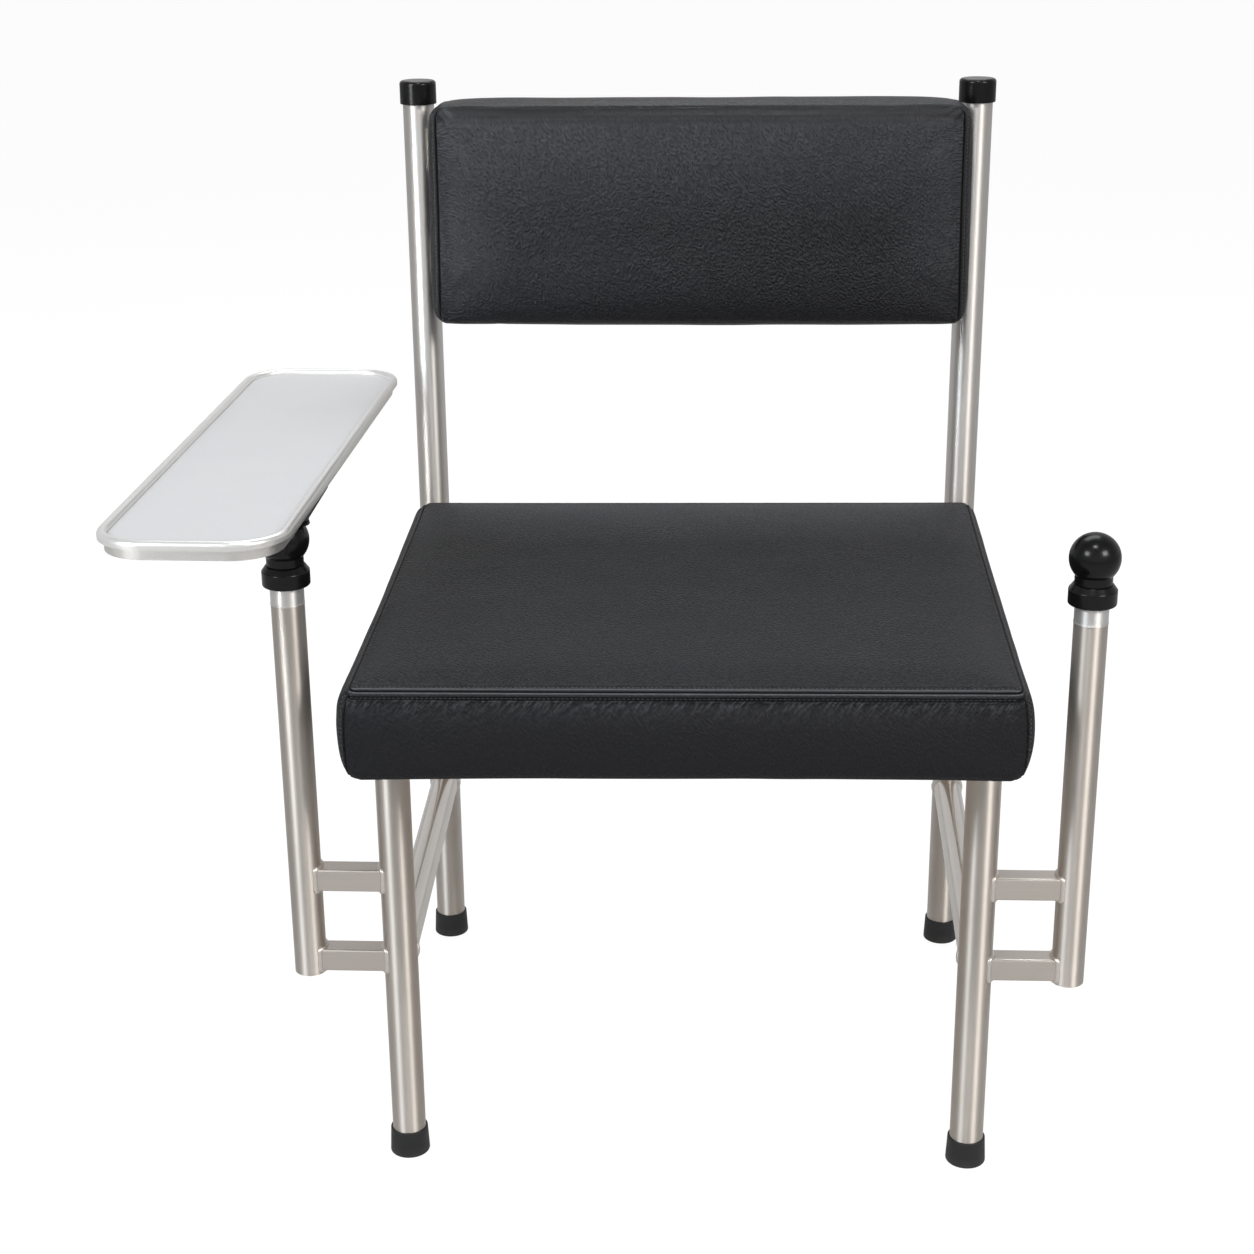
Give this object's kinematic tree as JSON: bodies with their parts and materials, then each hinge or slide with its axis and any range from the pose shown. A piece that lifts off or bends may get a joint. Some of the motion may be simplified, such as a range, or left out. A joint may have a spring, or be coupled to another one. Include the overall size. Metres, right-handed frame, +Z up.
{
  "type": "phlebotomy chair",
  "caption": "Steel-framed blood-draw chair with padded seat and backrest, arm posts with ball heads and a tiltable tray armrest on one side.",
  "frame": {"origin": "on the floor, under the middle of the chair's bounding box", "axes": "+Z up; -Y is the way the sitter faces; the tray armrest is on the -X side"},
  "size_m": [0.8122, 0.6038, 0.9155],
  "materials": {
    "brushed_tube": "satin",
    "bright_steel": "polished",
    "screw_steel": "satin",
    "black_steel": "satin",
    "bright_aluminium": "satin",
    "satin_aluminium": "satin",
    "pale_laminate": "matte",
    "plywood": "matte",
    "black_board": "matte",
    "leatherette": "satin",
    "foot_rubber": "matte",
    "acetal": "satin",
    "black_plastic": "satin"
  },
  "bodies": {
    "frame": {"arm_post_left": "brushed_tube", "arm_post_right": "brushed_tube", "back_board": "black_board", "back_cushion": "leatherette", "back_screws": "screw_steel", "back_tab_high_left": "brushed_tube", "back_tab_high_right": "brushed_tube", "back_tab_low_left": "brushed_tube", "back_tab_low_right": "brushed_tube", "clamp_bush_left": "acetal", "clamp_bush_right": "acetal", "foot_front_left": "foot_rubber", "foot_front_right": "foot_rubber", "foot_rear_left": "foot_rubber", "foot_rear_right": "foot_rubber", "front_leg_left": "brushed_tube", "front_leg_right": "brushed_tube", "post_end_disc_left": "brushed_tube", "post_end_disc_right": "brushed_tube", "post_link_high_left": "brushed_tube", "post_link_high_right": "brushed_tube", "post_link_low_left": "brushed_tube", "post_link_low_right": "brushed_tube", "post_ring_left": "bright_aluminium", "post_ring_right": "bright_aluminium", "rear_upright_left": "brushed_tube", "rear_upright_right": "brushed_tube", "seat_board": "plywood", "seat_cushion": "leatherette", "seat_rail_front": "brushed_tube", "seat_rail_left": "brushed_tube", "seat_rail_rear": "brushed_tube", "seat_rail_right": "brushed_tube", "seat_screws": "screw_steel", "side_stretcher_left": "brushed_tube", "side_stretcher_right": "brushed_tube", "upright_cap_left": "black_plastic", "upright_cap_right": "black_plastic"},
    "stem_left": {"arm_stem_left": "bright_steel"},
    "stem_right": {"arm_stem_right": "bright_steel"},
    "liner": {"ball_liner": "acetal"},
    "stud_left": {"ball_stud_left": "black_plastic"},
    "stud_right": {"ball_stud_right": "black_plastic"},
    "armrest": {"clamp_screws": "screw_steel", "mounting_plate": "black_steel", "plate_screws": "screw_steel", "socket_front_half": "black_plastic", "socket_rear_half": "black_plastic", "socket_screws": "screw_steel", "tray_core": "plywood", "tray_pan": "satin_aluminium", "tray_panel": "pale_laminate", "tray_rim": "satin_aluminium"},
    "collar_left": {"lock_collar_left": "black_plastic"},
    "collar_right": {"lock_collar_right": "black_plastic"}
  },
  "joints": [
    {"name": "collar_left_turn", "type": "hinge", "parent": "frame", "child": "collar_left", "pos_m": [-0.2857, -0.14245, 0.5566], "axis": [0, 0, 1], "range_deg": [0, 60]},
    {"name": "collar_right_turn", "type": "hinge", "parent": "frame", "child": "collar_right", "pos_m": [0.3847, -0.14245, 0.5446], "axis": [0, 0, 1], "range_deg": [0, 60]},
    {"name": "stem_left_height", "type": "slide", "parent": "frame", "child": "stem_left", "axis": [0, 0, 1], "range_m": [0, 0.1]},
    {"name": "stem_right_height", "type": "slide", "parent": "frame", "child": "stem_right", "axis": [0, 0, 1], "range_m": [0, 0.1]},
    {"name": "stud_left_swivel", "type": "hinge", "parent": "stem_left", "child": "stud_left", "pos_m": [-0.2857, -0.14245, 0.588], "axis": [0, 0, 1], "range_deg": [-5, 270]},
    {"name": "stud_right_swivel", "type": "hinge", "parent": "stem_right", "child": "stud_right", "pos_m": [0.3847, -0.14245, 0.576], "axis": [0, 0, 1], "continuous": true},
    {"name": "armrest_tilt_fore_aft", "type": "hinge", "parent": "stud_left", "child": "liner", "pos_m": [-0.2857, -0.14245, 0.588], "axis": [1, 0, 0], "range_deg": [-15, 15]},
    {"name": "armrest_tilt_sideways", "type": "hinge", "parent": "liner", "child": "armrest", "pos_m": [-0.2857, -0.14245, 0.588], "axis": [0, 1, 0], "range_deg": [-15, 15]}
  ]
}
